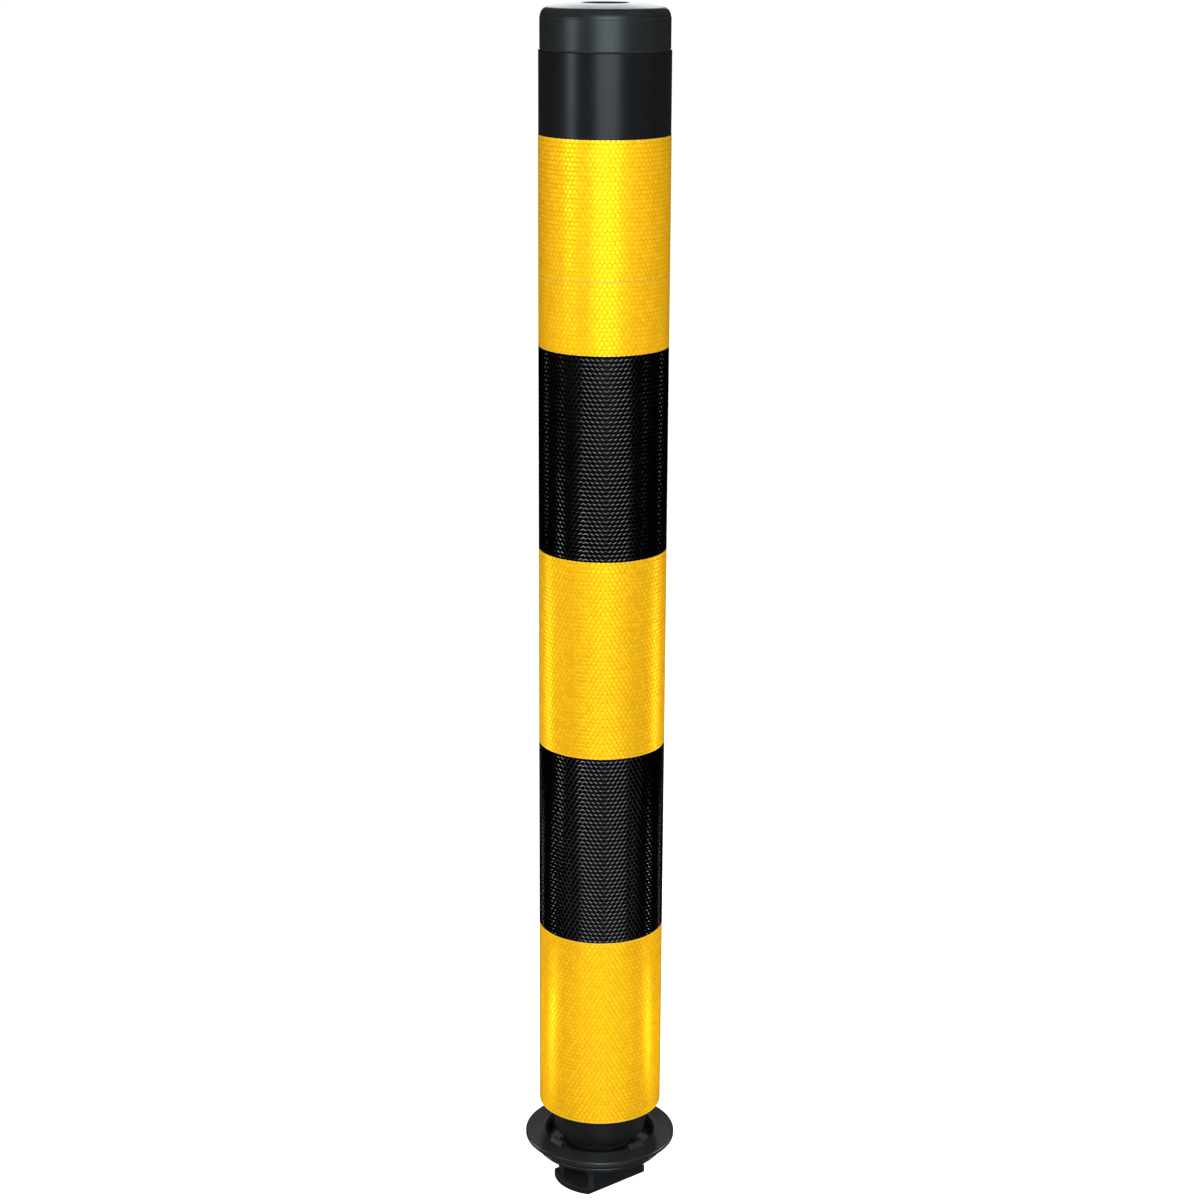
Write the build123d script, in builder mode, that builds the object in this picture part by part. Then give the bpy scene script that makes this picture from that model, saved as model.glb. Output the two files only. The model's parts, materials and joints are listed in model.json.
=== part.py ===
from build123d import *
import os
from math import cos, degrees, radians, sin, sqrt

# A removable street post. It leans on a ball seat when it is knocked, stands up again by a spring,
# and locks into its ground socket by a foot that a key turns through 90 degrees.
# Millimetres. The origin is on the post's axis at the underside of the ground flange, +Z is up and
# -Y is the front.

# --- driving dimensions ---------------------------------------------------------------------------
TUBE_R = 50.0
TUBE_WALL = 3.0
TUBE_LOW = 33.0
TUBE_TOP = 891.3
SHEET = 0.3
BAND = 160.0
LAP = 4.0
SPLICE_LOW = 291.0
SPLICE_HIGH = 725.0

CAP_R = 49.1
CAP_LOW = 892.0
CAP_SHOULDER = 914.6
CAP_TOP = 925.0
RECESS_R = 17.0
RECESS_FLOOR = 909.0

PIVOT = 6.5
BALL_R = 26.0
SEAT_GAP = 0.4
COLLAR_LOW_R = 37.0
COLLAR_HIGH_R = 42.0

FLANGE_R = 62.0
FLANGE_RIM = 3.9
FLANGE_CROWN = 4.9
GROOVE_R = 43.5
GROOVE_FLOOR = -7.0
RING_R = 53.0
RING_LOW = -10.5

FOOT_R = 38.0
FOOT_FLAT = 22.5
FOOT_LOW = -39.0
FOOT_PLATE = 5.0
FOOT_WALL = 6.0
FOOT_WALL_HALF = 26.0
FOOT_TURNED = 45.0

ROD_R = 6.0
SHAFT_R = 8.0
RUNNING = 0.06
PRESSED = 0.02
ARM_IN = 10.0
ARM_OUT = 15.0
ARM_HALF = 6.5
TRUNNION_R = 3.5
THROUGH = 12.0
REACH = 20.0

TUBE_IN = TUBE_R - TUBE_WALL
PLUG_R = TUBE_IN - 0.1
FORWARD = (cos(radians(FOOT_TURNED)), sin(radians(FOOT_TURNED)), 0)
ACROSS = (-FORWARD[1], FORWARD[0], 0)


def level(z):
    """A horizontal plane at this height, its x along the foot's long axis."""
    return Plane(origin=(0, 0, z), x_dir=FORWARD, z_dir=(0, 0, 1))


def along(direction, z):
    """A vertical plane through the post's axis at this height, facing along the direction."""
    return Plane(origin=(0, 0, z), x_dir=(0, 0, 1), z_dir=direction)


def save(piece, name):
    """Labels a finished piece and writes its STEP file."""
    piece.part.label = name
    export_step(piece.part, f"parts/{name}.step")


def turned_ring(outer, inner, low, high):
    """A plain ring about the post's axis."""
    with BuildPart() as ring:
        with BuildSketch(Plane.XY.offset(low)):
            Circle(outer)
            Circle(inner, mode=Mode.SUBTRACT)
        extrude(amount=high - low)
    return ring


os.makedirs("parts", exist_ok=True)

# --- ground flange --------------------------------------------------------------------------------
BUSH_R = 11.0
SCREW_CIRCLE = 25.5
SCREW_R = 2.0
SCREW_HEAD_R = 3.6
SCREW_HEAD = 2.3
STOP_CIRCLE = 19.5
STOP_R = 2.0
STOP_DEPTH = 2.2
RIB_WIDTH = 13.0
RIB_IN = 40.2
RIB_OUT = GROOVE_R + 5.0
RIB_FOOT = 2.2
RIB_TOP = 7.6
RIB_LAND = 2.2
RIB_ROUND = 0.7
RING_EDGE = 1.5
RIM_ROUND = 1.2
RIM_EDGE = 0.4
LIP_IN = 3.5
LIP_DROP = 3.0
STOP_SPARE = 0.3
BUSH_COLLAR_R = 14.0
BUSH_COLLAR = 1.6

with BuildPart() as ground_flange:
    with BuildSketch(Plane.XZ):
        with BuildLine():
            rim = Polyline(
                (BUSH_R, RING_LOW),
                (RING_R - RING_EDGE, RING_LOW),
                (RING_R, RING_LOW + RING_EDGE),
                (RING_R, 0),
                (FLANGE_R - RIM_EDGE, 0),
                (FLANGE_R, RIM_EDGE),
                (FLANGE_R, FLANGE_RIM - RIM_ROUND),
            )
            edge = RadiusArc(rim @ 1, (FLANGE_R - RIM_ROUND, FLANGE_RIM), -RIM_ROUND)
            top = Line(edge @ 1, (GROOVE_R + LIP_IN, FLANGE_CROWN))
            lip = TangentArc(top @ 1, (GROOVE_R, FLANGE_CROWN - LIP_DROP), tangent=top % 1)
            Polyline(lip @ 1, (GROOVE_R, GROOVE_FLOOR), (BUSH_R, GROOVE_FLOOR), rim @ 0)
        make_face()
    revolve(axis=Axis.Z)
    # Four wedge blocks stand in the groove and rise a little above the flange.
    for turn in range(4):
        heading = radians(45 + 90 * turn)
        beside = Plane(
            origin=(0, 0, 0),
            x_dir=(cos(heading), sin(heading), 0),
            z_dir=(sin(heading), -cos(heading), 0),
        )
        with BuildSketch(beside):
            with BuildLine():
                Polyline(
                    (RIB_IN, GROOVE_FLOOR),
                    (RIB_IN, RIB_FOOT),
                    (GROOVE_R, RIB_TOP),
                    (GROOVE_R + RIB_LAND, RIB_TOP),
                    (RIB_OUT, FLANGE_CROWN - RIM_EDGE),
                    (RIB_OUT, GROOVE_FLOOR),
                    close=True,
                )
            make_face()
        extrude(amount=RIB_WIDTH / 2, both=True)
    # Their top edges are rounded, so that a shoe or a tyre isn't cut.
    crests = ground_flange.edges().group_by(Axis.Z)[-1]
    fillet(crests, RIB_ROUND)
    with BuildSketch(Plane.XY.offset(RING_LOW)):
        with PolarLocations(SCREW_CIRCLE, 4, start_angle=0):
            Circle(SCREW_R + PRESSED)
    extrude(amount=GROOVE_FLOOR - RING_LOW, mode=Mode.SUBTRACT)
    with BuildSketch(Plane.XY.offset(RING_LOW)):
        with PolarLocations(SCREW_CIRCLE, 4, start_angle=0):
            Circle(SCREW_HEAD_R + PRESSED)
    extrude(amount=SCREW_HEAD, mode=Mode.SUBTRACT)
    # The stop pin's arc runs a quarter turn and a little clearance at both ends.
    spare = degrees(STOP_SPARE / STOP_CIRCLE)
    with BuildSketch(Plane.XY.offset(RING_LOW)):
        quarter = CenterArc(
            (0, 0), STOP_CIRCLE, FOOT_TURNED - spare, 90 + 2 * spare, mode=Mode.PRIVATE
        )
        SlotArc(quarter, height=2 * (STOP_R + STOP_SPARE))
    extrude(amount=STOP_DEPTH, mode=Mode.SUBTRACT)
save(ground_flange, "ground_flange")

with BuildPart() as shaft_bush:
    with BuildSketch(Plane.XY.offset(RING_LOW)):
        Circle(BUSH_R - PRESSED)
        Circle(SHAFT_R + RUNNING, mode=Mode.SUBTRACT)
    extrude(amount=GROOVE_FLOOR - RING_LOW)
    with BuildSketch(Plane.XY.offset(GROOVE_FLOOR)):
        Circle(BUSH_COLLAR_R)
        Circle(SHAFT_R + RUNNING, mode=Mode.SUBTRACT)
    extrude(amount=BUSH_COLLAR)
save(shaft_bush, "shaft_bush")

# --- ball pedestal --------------------------------------------------------------------------------
DOME_IN = 22.0
DOME_OPEN = 43.0
DOME_END = 105.0
PEDESTAL_R = 29.0
PEDESTAL_TOP = -0.5
HOLLOW_MID = 65.0
SCREW_HOLE = 5.2
SCREW_GRIP = 5.0
SCREW_SOCKET_R = 1.7
SCREW_SUNK = 0.1
HEAD_OVERLAP = 0.6
open_in = (DOME_IN * sin(radians(DOME_OPEN)), PIVOT + DOME_IN * cos(radians(DOME_OPEN)))
open_out = (BALL_R * sin(radians(DOME_OPEN)), PIVOT + BALL_R * cos(radians(DOME_OPEN)))
dome_low = (BALL_R * sin(radians(DOME_END)), PIVOT + BALL_R * cos(radians(DOME_END)))

with BuildPart() as ball_pedestal:
    with BuildSketch(Plane.XZ):
        with BuildLine():
            ball = ThreePointArc(open_out, (BALL_R, PIVOT), dome_low)
            base = Polyline(
                ball @ 1,
                (dome_low[0], PEDESTAL_TOP),
                (PEDESTAL_R, PEDESTAL_TOP),
                (PEDESTAL_R, GROOVE_FLOOR),
                (DOME_IN, GROOVE_FLOOR),
                (DOME_IN, PIVOT),
            )
            side = (
                DOME_IN * sin(radians(HOLLOW_MID)),
                PIVOT + DOME_IN * cos(radians(HOLLOW_MID)),
            )
            hollow = ThreePointArc(base @ 1, side, open_in)
            Line(hollow @ 1, open_out)
        make_face()
    revolve(axis=Axis.Z)
    with BuildSketch(Plane.XY.offset(GROOVE_FLOOR)):
        with PolarLocations(SCREW_CIRCLE, 4, start_angle=0):
            Circle(SCREW_R + PRESSED)
    extrude(amount=SCREW_HOLE, mode=Mode.SUBTRACT)
save(ball_pedestal, "ball_pedestal")

with BuildPart() as pedestal_screws:
    with BuildSketch(Plane.XY.offset(RING_LOW + SCREW_SUNK)):
        with PolarLocations(SCREW_CIRCLE, 4, start_angle=0):
            Circle(SCREW_HEAD_R)
            RegularPolygon(SCREW_SOCKET_R, 6, mode=Mode.SUBTRACT)
    extrude(amount=SCREW_HEAD - SCREW_SUNK)
    with BuildSketch(Plane.XY.offset(RING_LOW + SCREW_HEAD - HEAD_OVERLAP)):
        with PolarLocations(SCREW_CIRCLE, 4, start_angle=0):
            Circle(SCREW_R)
    extrude(amount=GROOVE_FLOOR + SCREW_GRIP - (RING_LOW + SCREW_HEAD - HEAD_OVERLAP))
save(pedestal_screws, "pedestal_screws")

# --- bayonet foot ---------------------------------------------------------------------------------
PLATE_TOP = FOOT_LOW + FOOT_PLATE
WALL_TOP = RING_LOW - 0.7
HUB_R = 14.0
WASHER_HIGH = RING_LOW - 0.1
WASHER_LOW = WASHER_HIGH - 1.4
BOLT_R = 4.0
KEY_HALF = 2.5
KEY_OUT = 10.6
KEY_LOW = -30.0
KEY_HIGH = -16.0
KEY_IN = 5.5
KEY_FIT = 0.04
SINK_R = 9.0
SINK_DEPTH = 4.4
STOP_HOLE = 10.0
PLATE_ROUND = 1.2
WALL_ROUND = 1.0
BOLT_SUNK = 0.2
BOLT_LENGTH = 20.0
BOLT_SOCKET_R = 2.9
BOLT_SOCKET = 3.0

with BuildPart() as bayonet_foot:
    # The plate is a disc with two flats.
    with BuildSketch(level(FOOT_LOW)):
        Circle(FOOT_R)
        Rectangle(2 * FOOT_R, 2 * FOOT_FLAT, mode=Mode.INTERSECT)
    extrude(amount=FOOT_PLATE)
    # Two side walls stand on it, flush with the flats, and leave both ends open.
    with BuildSketch(level(PLATE_TOP)):
        with Locations((0, FOOT_FLAT - FOOT_WALL / 2), (0, FOOT_WALL / 2 - FOOT_FLAT)):
            Rectangle(2 * FOOT_WALL_HALF, FOOT_WALL)
    extrude(amount=WALL_TOP - PLATE_TOP)
    with BuildSketch(level(PLATE_TOP)):
        Circle(HUB_R)
    extrude(amount=WASHER_LOW - PLATE_TOP)
    with BuildSketch(level(WASHER_LOW)):
        Circle(SHAFT_R + PRESSED)
    extrude(amount=PLATE_TOP - WASHER_LOW, mode=Mode.SUBTRACT)
    with BuildSketch(level(KEY_LOW)):
        with Locations(((SHAFT_R + KEY_OUT) / 2 - 1, 0)):
            Rectangle(KEY_OUT - SHAFT_R + 2, 2 * KEY_HALF + KEY_FIT)
    extrude(amount=WASHER_LOW - KEY_LOW, mode=Mode.SUBTRACT)
    with BuildSketch(level(FOOT_LOW)):
        Circle(BOLT_R + 0.5)
    extrude(amount=FOOT_PLATE, mode=Mode.SUBTRACT)
    # Countersink for the screw's head.
    with BuildSketch(level(FOOT_LOW)):
        Circle(SINK_R)
    extrude(amount=SINK_DEPTH, taper=45, mode=Mode.SUBTRACT)
    with BuildSketch(level(WALL_TOP)):
        with Locations((0, STOP_CIRCLE)):
            Circle(STOP_R + PRESSED)
    extrude(amount=-STOP_HOLE, mode=Mode.SUBTRACT)
    upright = bayonet_foot.edges().filter_by(Axis.Z)
    corners = upright.filter_by(lambda e: Vector(e.center().X, e.center().Y).length > FOOT_R - 1)
    fillet(corners, PLATE_ROUND)
    # The walls' top edges are rounded, as a casting's are.
    crests = bayonet_foot.edges().filter_by_position(Axis.Z, WALL_TOP, WALL_TOP)
    fillet(crests.filter_by(GeomType.LINE), WALL_ROUND)
save(bayonet_foot, "bayonet_foot")

with BuildPart() as foot_screw:
    with BuildSketch(level(FOOT_LOW + BOLT_SUNK)):
        Circle(SINK_R - 2 * BOLT_SUNK)
    extrude(amount=SINK_DEPTH - BOLT_SUNK, taper=45)
    with BuildSketch(level(FOOT_LOW + BOLT_SUNK)):
        Circle(BOLT_R)
    extrude(amount=BOLT_LENGTH)
    with BuildSketch(level(FOOT_LOW + BOLT_SUNK)):
        RegularPolygon(BOLT_SOCKET_R, 6)
    extrude(amount=BOLT_SOCKET, mode=Mode.SUBTRACT)
save(foot_screw, "foot_screw")

foot_washer = turned_ring(16.0, SHAFT_R + 0.3, WASHER_LOW, WASHER_HIGH)
save(foot_washer, "foot_washer")

with BuildPart() as stop_pin:
    with BuildSketch(level(WALL_TOP - STOP_HOLE)):
        with Locations((0, STOP_CIRCLE)):
            Circle(STOP_R)
    extrude(amount=RING_LOW + STOP_DEPTH - 0.5 - (WALL_TOP - STOP_HOLE))
save(stop_pin, "stop_pin")

with BuildPart() as foot_key:
    with BuildSketch(level(KEY_LOW)):
        with Locations(((KEY_OUT + KEY_IN) / 2, 0)):
            Rectangle(KEY_OUT - KEY_IN - KEY_FIT, 2 * KEY_HALF)
    extrude(amount=KEY_HIGH - KEY_LOW)
save(foot_key, "foot_key")

# --- universal joint ------------------------------------------------------------------------------
FORK_DISC_LOW = GROOVE_FLOOR + BUSH_COLLAR + 0.1
FORK_DISC_HIGH = PIVOT - 10.5
LOW_BAR_TOP = PIVOT - 7.3
HIGH_BAR_LOW = PIVOT + 8.2
HIGH_BAR_TOP = PIVOT + 12.2
FORK_HUB_TOP = PIVOT + 17.5
ROD_LOW = PIVOT + 10.2
FORK_PIN_Z = PIVOT + 14.8
FORK_PIN_R = 1.5
FORK_PIN_HALF = 8.3
FORK_HUB_R = 8.5
FORK_DISC_R = 13.0
BLOCK_SIDE = 18.6
BLOCK_ROUND = 2.0
BLOCK_HALF = 4.5
PIN_SHORT = 0.3
BAR_OVERLAP = 0.5

with BuildPart() as lower_fork:
    with BuildSketch(level(PLATE_TOP + 0.1)):
        Circle(SHAFT_R)
    extrude(amount=FORK_DISC_LOW - PLATE_TOP)
    with BuildSketch(level(FORK_DISC_LOW)):
        Circle(FORK_DISC_R)
    extrude(amount=FORK_DISC_HIGH - FORK_DISC_LOW)
    with BuildSketch(level(FORK_DISC_HIGH)):
        Rectangle(2 * ARM_OUT, 2 * ARM_HALF)
    extrude(amount=LOW_BAR_TOP - FORK_DISC_HIGH)
    with BuildSketch(along(FORWARD, PIVOT)):
        Circle(ARM_HALF)
        with Locations(((LOW_BAR_TOP - BAR_OVERLAP - PIVOT) / 2, 0)):
            Rectangle(PIVOT - LOW_BAR_TOP + BAR_OVERLAP, 2 * ARM_HALF)
    extrude(amount=ARM_OUT, both=True)
    with BuildSketch(level(LOW_BAR_TOP)):
        Rectangle(2 * ARM_IN, 2 * ARM_OUT)
    extrude(amount=REACH, mode=Mode.SUBTRACT)
    with BuildSketch(along(FORWARD, PIVOT)):
        Circle(TRUNNION_R + RUNNING)
    extrude(amount=ARM_OUT, both=True, mode=Mode.SUBTRACT)
    with BuildSketch(level(PLATE_TOP)):
        Circle(BOLT_R + PRESSED)
    extrude(amount=16, mode=Mode.SUBTRACT)
    with BuildSketch(level(KEY_LOW)):
        with Locations(((KEY_IN + KEY_OUT) / 2, 0)):
            Rectangle(KEY_OUT - KEY_IN, 2 * KEY_HALF + KEY_FIT)
    extrude(amount=KEY_HIGH - KEY_LOW, mode=Mode.SUBTRACT)
save(lower_fork, "lower_fork")

with BuildPart() as cross_block:
    with BuildSketch(level(PIVOT)):
        RectangleRounded(BLOCK_SIDE, BLOCK_SIDE, BLOCK_ROUND)
    extrude(amount=BLOCK_HALF, both=True)
    with BuildSketch(along(FORWARD, PIVOT)):
        Circle(TRUNNION_R + PRESSED)
    extrude(amount=THROUGH, both=True, mode=Mode.SUBTRACT)
    with BuildSketch(along(ACROSS, PIVOT)):
        Circle(TRUNNION_R + PRESSED)
    extrude(amount=THROUGH, both=True, mode=Mode.SUBTRACT)
save(cross_block, "cross_block")

with BuildPart() as cross_pin_long:
    with BuildSketch(along(FORWARD, PIVOT)):
        Circle(TRUNNION_R)
    extrude(amount=ARM_OUT - PIN_SHORT, both=True)
save(cross_pin_long, "cross_pin_long")

with BuildPart() as cross_pins_short:
    with BuildSketch(along(ACROSS, PIVOT)):
        Circle(TRUNNION_R)
    extrude(amount=ARM_OUT - PIN_SHORT, both=True)
    with BuildSketch(along(FORWARD, PIVOT)):
        Circle(TRUNNION_R + 0.1)
    extrude(amount=THROUGH, both=True, mode=Mode.SUBTRACT)
save(cross_pins_short, "cross_pins_short")

with BuildPart() as upper_fork:
    with BuildSketch(level(HIGH_BAR_TOP - 1)):
        Circle(FORK_HUB_R)
    extrude(amount=FORK_HUB_TOP - HIGH_BAR_TOP + 1)
    with BuildSketch(level(HIGH_BAR_LOW)):
        Rectangle(2 * ARM_HALF, 2 * ARM_OUT)
    extrude(amount=HIGH_BAR_TOP - HIGH_BAR_LOW)
    with BuildSketch(along(ACROSS, PIVOT)):
        Circle(ARM_HALF)
        with Locations(((HIGH_BAR_LOW + BAR_OVERLAP - PIVOT) / 2, 0)):
            Rectangle(HIGH_BAR_LOW + BAR_OVERLAP - PIVOT, 2 * ARM_HALF)
    extrude(amount=ARM_OUT, both=True)
    with BuildSketch(level(HIGH_BAR_LOW)):
        Rectangle(2 * ARM_OUT, 2 * ARM_IN)
    extrude(amount=-REACH, mode=Mode.SUBTRACT)
    with BuildSketch(along(ACROSS, PIVOT)):
        Circle(TRUNNION_R + RUNNING)
    extrude(amount=ARM_OUT, both=True, mode=Mode.SUBTRACT)
    with BuildSketch(level(ROD_LOW)):
        Circle(ROD_R + PRESSED)
    extrude(amount=REACH, mode=Mode.SUBTRACT)
    with BuildSketch(along(FORWARD, FORK_PIN_Z)):
        Circle(FORK_PIN_R + PRESSED)
    extrude(amount=THROUGH, both=True, mode=Mode.SUBTRACT)
save(upper_fork, "upper_fork")

# --- drive line -----------------------------------------------------------------------------------
SPINDLE_LOW = 866.0
COUPLER_LOW = 846.0
COUPLER_TOP = 886.0
COUPLER_PINS = (855.0, 877.0)
BUSH_FACE = RECESS_FLOOR + 1.4
HEAD_TOP = 921.0
CLIP_Z = 902.4
CLIP_R = 9.0
CLIP_THICK = 1.2
CLIP_GROOVE = 0.7
COUPLER_R = 10.0
COUPLER_PIN_R = 2.0
COUPLER_PIN_HALF = 9.8
HEAD_CORNER_R = 8.2
HEAD_POINT_R = 9.6
TURNED_EDGE = 0.8

with BuildPart() as drive_rod:
    with BuildSketch(Plane.XY.offset(ROD_LOW + 0.1)):
        Circle(ROD_R)
    extrude(amount=SPINDLE_LOW - 0.2 - ROD_LOW)
    with BuildSketch(along(FORWARD, FORK_PIN_Z)):
        Circle(FORK_PIN_R + PRESSED)
    extrude(amount=THROUGH, both=True, mode=Mode.SUBTRACT)
    with BuildSketch(along(FORWARD, COUPLER_PINS[0])):
        Circle(COUPLER_PIN_R + PRESSED)
    extrude(amount=THROUGH, both=True, mode=Mode.SUBTRACT)
save(drive_rod, "drive_rod")

with BuildPart() as fork_pin:
    with BuildSketch(along(FORWARD, FORK_PIN_Z)):
        Circle(FORK_PIN_R)
    extrude(amount=FORK_PIN_HALF, both=True)
save(fork_pin, "fork_pin")

with BuildPart() as rod_coupler:
    with BuildSketch(Plane.XY.offset(COUPLER_LOW)):
        Circle(COUPLER_R)
        Circle(ROD_R + PRESSED, mode=Mode.SUBTRACT)
    extrude(amount=COUPLER_TOP - COUPLER_LOW)
    for height in COUPLER_PINS:
        with BuildSketch(along(FORWARD, height)):
            Circle(COUPLER_PIN_R + PRESSED)
        extrude(amount=THROUGH, both=True, mode=Mode.SUBTRACT)
    chamfer(rod_coupler.edges().group_by(Axis.Z)[0], TURNED_EDGE)
    chamfer(rod_coupler.edges().group_by(Axis.Z)[-1], TURNED_EDGE)
save(rod_coupler, "rod_coupler")

with BuildPart() as coupler_pins:
    for height in COUPLER_PINS:
        with BuildSketch(along(FORWARD, height)):
            Circle(COUPLER_PIN_R)
        extrude(amount=COUPLER_PIN_HALF, both=True)
save(coupler_pins, "coupler_pins")

with BuildPart() as key_spindle:
    with BuildSketch(Plane.XY.offset(SPINDLE_LOW)):
        Circle(ROD_R)
    extrude(amount=BUSH_FACE - SPINDLE_LOW)
    # A three-sided head for the key, its corners turned off.
    with BuildSketch(Plane.XY.offset(BUSH_FACE + 0.1)):
        RegularPolygon(HEAD_POINT_R, 3)
        Circle(HEAD_CORNER_R, mode=Mode.INTERSECT)
    extrude(amount=HEAD_TOP - BUSH_FACE - 0.1)
    with BuildSketch(Plane.XY.offset(BUSH_FACE - 0.5)):
        Circle(ROD_R)
    extrude(amount=1.5)
    chamfer(key_spindle.edges().group_by(Axis.Z)[-1], TURNED_EDGE)
    with BuildSketch(Plane.XY.offset(CLIP_Z)):
        Circle(ROD_R + 1)
        Circle(ROD_R - CLIP_GROOVE, mode=Mode.SUBTRACT)
    extrude(amount=CLIP_THICK + 0.1, mode=Mode.SUBTRACT)
    with BuildSketch(along(FORWARD, COUPLER_PINS[1])):
        Circle(COUPLER_PIN_R + PRESSED)
    extrude(amount=THROUGH, both=True, mode=Mode.SUBTRACT)
save(key_spindle, "key_spindle")

with BuildPart() as spindle_circlip:
    with BuildSketch(Plane.XY.offset(CLIP_Z + 0.05)):
        Circle(CLIP_R)
        Circle(ROD_R - CLIP_GROOVE + 0.05, mode=Mode.SUBTRACT)
        with Locations((0, -8)):
            Rectangle(5, 8, mode=Mode.SUBTRACT)
    extrude(amount=CLIP_THICK)
save(spindle_circlip, "spindle_circlip")

# --- spring pack on the rod -----------------------------------------------------------------------
WEB_TOP = 40.0
SEAT_LOW_TOP = 44.0
SPRING_TOP = 230.0
SEAT_HIGH_TOP = 236.0
WASHER_TOP = 238.5
WIRE_R = 3.0
SPRING_R = 24.0
SPRING_TURNS = 11
NUT_FLATS = 9.0
NUT_THICK = 10.0
LOCKNUT_THICK = 6.0
SEAT_LOW_R = 36.0
SEAT_LOW_BORE = 10.5
SEAT_HIGH_R = 31.0
SEAT_SPIGOT_R = 18.5
SEAT_SPIGOT = 8.0
ROD_WASHER_R = 16.0

spring_seat_low = turned_ring(SEAT_LOW_R, SEAT_LOW_BORE, WEB_TOP, SEAT_LOW_TOP)
save(spring_seat_low, "spring_seat_low")

with BuildPart() as main_spring:
    rise = SPRING_TOP - SEAT_LOW_TOP - 2 * WIRE_R - 0.2
    with BuildLine() as coil:
        Helix(rise / SPRING_TURNS, rise, SPRING_R, center=(0, 0, SEAT_LOW_TOP + WIRE_R + 0.1))
    with BuildSketch(Plane(origin=coil.line @ 0, z_dir=coil.line % 0)):
        Circle(WIRE_R)
    sweep(is_frenet=True)
save(main_spring, "main_spring")

with BuildPart() as spring_seat_high:
    with BuildSketch(Plane.XY.offset(SPRING_TOP)):
        Circle(SEAT_HIGH_R)
    extrude(amount=SEAT_HIGH_TOP - SPRING_TOP)
    with BuildSketch(Plane.XY.offset(SPRING_TOP)):
        Circle(SEAT_SPIGOT_R)
    extrude(amount=-SEAT_SPIGOT)
    with BuildSketch(Plane.XY.offset(SPRING_TOP - SEAT_SPIGOT)):
        Circle(ROD_R + 0.4)
    extrude(amount=REACH, mode=Mode.SUBTRACT)
    fillet(spring_seat_high.edges().group_by(Axis.Z)[-1].sort_by(SortBy.RADIUS)[-1], 1.5)
save(spring_seat_high, "spring_seat_high")

rod_washer = turned_ring(ROD_WASHER_R, ROD_R + 0.1, SEAT_HIGH_TOP + 0.1, WASHER_TOP)
save(rod_washer, "rod_washer")

with BuildPart() as rod_nuts:
    for low, high in (
        (WASHER_TOP, WASHER_TOP + NUT_THICK),
        (WASHER_TOP + NUT_THICK + 0.1, WASHER_TOP + NUT_THICK + LOCKNUT_THICK),
    ):
        with BuildSketch(Plane.XY.offset(low)):
            RegularPolygon(NUT_FLATS, 6, major_radius=False)
            Circle(ROD_R + PRESSED, mode=Mode.SUBTRACT)
        extrude(amount=high - low)
save(rod_nuts, "rod_nuts")

# --- base plug: tapered collar outside, socket below, cup inside the tube ---------------------------
SOCKET_R = BALL_R + SEAT_GAP
SOCKET_END = 78.0
PLUG_TOP = 74.0
PLUG_CUP_R = 39.0
GUIDE_R = 9.0
RIVET_Z = 58.0
RIVET_R = 3.0
RIVET_SUNK = 0.2
SOCKET_MID = 50.0
SKIRT = 4.5
SKIRT_LIFT = 3.0
SKIRT_EDGE = 0.6
socket_low = (SOCKET_R * sin(radians(SOCKET_END)), PIVOT + SOCKET_R * cos(radians(SOCKET_END)))
socket_top = (GUIDE_R, PIVOT + sqrt(SOCKET_R**2 - GUIDE_R**2))
socket_mid = (
    SOCKET_R * sin(radians(SOCKET_MID)),
    PIVOT + SOCKET_R * cos(radians(SOCKET_MID)),
)

with BuildPart() as base_plug:
    with BuildSketch(Plane.XZ):
        with BuildLine():
            socket = ThreePointArc(socket_top, socket_mid, socket_low)
            skirt = Polyline(
                socket @ 1,
                (COLLAR_LOW_R - SKIRT, PIVOT + SKIRT_LIFT),
                (COLLAR_LOW_R - SKIRT, PIVOT),
                (COLLAR_LOW_R - SKIRT_EDGE, PIVOT),
                (COLLAR_LOW_R, PIVOT + SKIRT_EDGE),
                (COLLAR_HIGH_R, TUBE_LOW - 0.5),
                (PLUG_R, TUBE_LOW + 0.5),
                (PLUG_R, PLUG_TOP),
                (PLUG_CUP_R, PLUG_TOP),
                (PLUG_CUP_R, WEB_TOP),
                (GUIDE_R, WEB_TOP),
                socket @ 0,
            )
        make_face()
    revolve(axis=Axis.Z)
    with BuildSketch(Plane.XZ):
        with Locations((0, RIVET_Z)):
            Circle(RIVET_R + PRESSED)
    extrude(amount=TUBE_R, both=True, mode=Mode.SUBTRACT)
    with BuildSketch(Plane.YZ):
        with Locations((0, RIVET_Z)):
            Circle(RIVET_R + PRESSED)
    extrude(amount=TUBE_R, both=True, mode=Mode.SUBTRACT)
save(base_plug, "base_plug")

plug_bush = turned_ring(GUIDE_R - PRESSED, ROD_R + RUNNING, socket_top[1] + 0.4, WEB_TOP)
save(plug_bush, "plug_bush")

with BuildPart() as plug_rivets:
    with BuildSketch(Plane.XZ):
        with Locations((0, RIVET_Z)):
            Circle(RIVET_R)
    extrude(amount=TUBE_R - RIVET_SUNK, both=True)
    with BuildSketch(Plane.YZ):
        with Locations((0, RIVET_Z)):
            Circle(RIVET_R)
    extrude(amount=TUBE_R - RIVET_SUNK, both=True)
    with BuildSketch(Plane.XY.offset(RIVET_Z - REACH / 2)):
        Circle(PLUG_CUP_R - 1.0)
    extrude(amount=REACH, mode=Mode.SUBTRACT)
save(plug_rivets, "plug_rivets")

# --- tube -----------------------------------------------------------------------------------------
TUBE_EDGE = 0.6

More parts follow.
